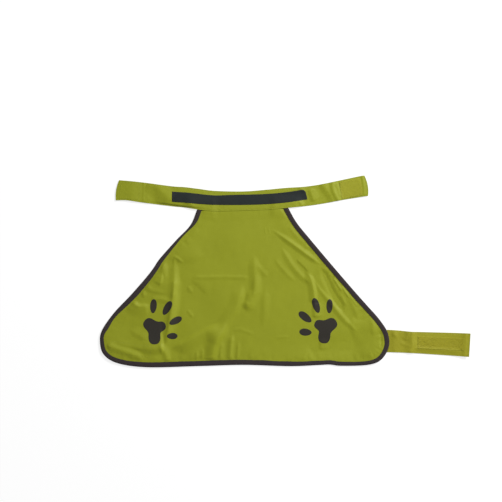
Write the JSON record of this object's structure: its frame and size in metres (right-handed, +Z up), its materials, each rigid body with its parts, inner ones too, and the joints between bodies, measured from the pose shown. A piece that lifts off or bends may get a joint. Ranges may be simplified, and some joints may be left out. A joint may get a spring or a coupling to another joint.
{
  "type": "reflective dog vest",
  "caption": "Lime dog vest laid flat: flared back panel with a dark bound edge, neck band with a dark reflective strip, belly strap, hook and loop fastenings and paw prints.",
  "frame": {"origin": "on the surface that the vest lies on, under the back line, about midway between the neck seam and the hem", "axes": "+X across the vest towards the belly strap, +Y along the back line towards the neck, +Z up from the surface"},
  "size_m": [0.7181, 0.372, 0.0059],
  "materials": {
    "lime_cloth": "close plain-woven polyester in a dull yellow-green, with a faint sheen",
    "black_tape": "matt ribbed black binding tape",
    "reflective_tape": "dark grey glass-bead reflective tape",
    "reflective_film": "dark grey reflective transfer film, smooth",
    "hook_tape": "moulded hooks on a lime backing",
    "loop_tape": "soft napped loops in lime"
  },
  "bodies": {
    "root": {"back_panel": "lime_cloth", "edge_binding": "black_tape", "neck_band": "lime_cloth", "reflective_strip": "reflective_tape", "belly_strap": "lime_cloth", "neck_hook_patch": "hook_tape", "neck_loop_patch": "loop_tape", "belly_hook_patch": "hook_tape", "belly_loop_patch": "loop_tape", "left_paw_pad": "reflective_film", "left_paw_toe_1": "reflective_film", "left_paw_toe_2": "reflective_film", "left_paw_toe_3": "reflective_film", "left_paw_toe_4": "reflective_film", "right_paw_pad": "reflective_film", "right_paw_toe_1": "reflective_film", "right_paw_toe_2": "reflective_film", "right_paw_toe_3": "reflective_film", "right_paw_toe_4": "reflective_film"}
  },
  "joints": []
}
